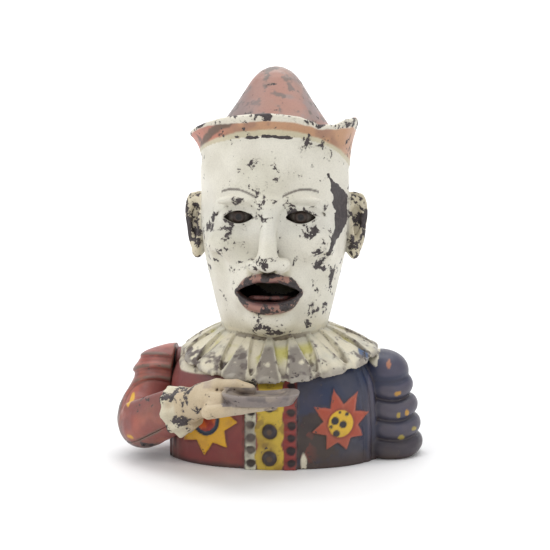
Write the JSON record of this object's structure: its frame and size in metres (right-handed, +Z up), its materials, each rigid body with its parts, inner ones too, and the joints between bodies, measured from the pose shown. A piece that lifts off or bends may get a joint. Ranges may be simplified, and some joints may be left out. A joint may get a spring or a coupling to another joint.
{
  "type": "mechanical bank",
  "caption": "Cast-iron bust money bank with a pointed hat: a rear lever raises the arm, carries a coin to the mouth, draws back the tongue and rolls the eyes.",
  "frame": {"origin": "centre of the base plate's underside, on the plane the bank stands on", "axes": "+Z up, the figure faces -Y, +X towards the viewer's right when facing the figure"},
  "size_m": [0.1493, 0.1418, 0.1911],
  "materials": {
    "cast_red": "painted cast iron, slightly glossy, worn",
    "cast_front": "painted cast iron, slightly glossy, worn",
    "cast_back": "painted cast iron, slightly glossy, worn",
    "steel": "bright drawn steel, slightly oxidised",
    "iron": "bare cast iron with dark japanning",
    "spring_steel": "oil-tempered spring steel",
    "brass": "dull brass",
    "eye_paint": "enamel",
    "tongue_paint": "enamel"
  },
  "bodies": {
    "casing": {"front_shell": "cast_front", "back_shell": "cast_back", "case_screws": "steel", "head_screw": "steel", "base_plate": "iron", "base_screws": "steel", "lever_pin": "steel", "return_spring": "spring_steel"},
    "arm": {"arm_casting": "cast_red", "arm_cover": "cast_red", "arm_rivets": "steel", "arm_shaft": "steel", "shaft_washer": "steel", "arm_crank": "iron", "crank_taper_pin": "steel", "crank_pins": "steel"},
    "lever": {"thumb_lever": "iron"},
    "tongue": {"tongue": "tongue_paint", "tongue_pin": "steel", "tongue_crank": "iron"},
    "eyes": {"eye_bar": "steel", "eyeball_left": "eye_paint", "eyeball_right": "eye_paint", "eye_crank": "iron"},
    "link": {"link_rod": "steel"},
    "trap": {"trap_door": "iron"},
    "lock": {"lock_barrel": "brass", "lock_bolt": "iron"}
  },
  "joints": [
    {"name": "arm_raise", "type": "hinge", "parent": "casing", "child": "arm", "pos_m": [0, 0.004, 0.042], "axis": [-1, 0, 0], "range_deg": [0, 42]},
    {"name": "lever_press", "type": "hinge", "parent": "casing", "child": "lever", "pos_m": [0.031, 0.026, 0.036], "axis": [-1, 0, 0], "range_deg": [0, 14.3], "stiffness_Nm_per_rad": 0.01, "deforming": ["return_spring"]},
    {"name": "tongue_tilt", "type": "hinge", "parent": "casing", "child": "tongue", "pos_m": [0, -0.019, 0.064], "axis": [-1, 0, 0], "range_deg": [0, 42]},
    {"name": "eye_roll", "type": "hinge", "parent": "casing", "child": "eyes", "pos_m": [0, -0.021, 0.1175], "axis": [-1, 0, 0], "range_deg": [0, 42]},
    {"name": "link_swing", "type": "hinge", "parent": "arm", "child": "link", "pos_m": [0.0179, 0.0124, 0.04523], "axis": [-1, 0, 0], "range_deg": [-42, 0]},
    {"name": "trap_lift", "type": "slide", "parent": "casing", "child": "trap", "axis": [0, 0, -1], "range_m": [0, 0.02]},
    {"name": "lock_turn", "type": "hinge", "parent": "trap", "child": "lock", "pos_m": [0, -0.0195, 0.004], "axis": [0, 0, 1], "range_deg": [0, 90]}
  ],
  "couplings": [
    {"joint": "lever_press", "follows": "arm_raise", "ratio": 0.3403},
    {"joint": "tongue_tilt", "follows": "arm_raise", "ratio": 1},
    {"joint": "eye_roll", "follows": "arm_raise", "ratio": 1},
    {"joint": "link_swing", "follows": "arm_raise", "ratio": -1}
  ]
}
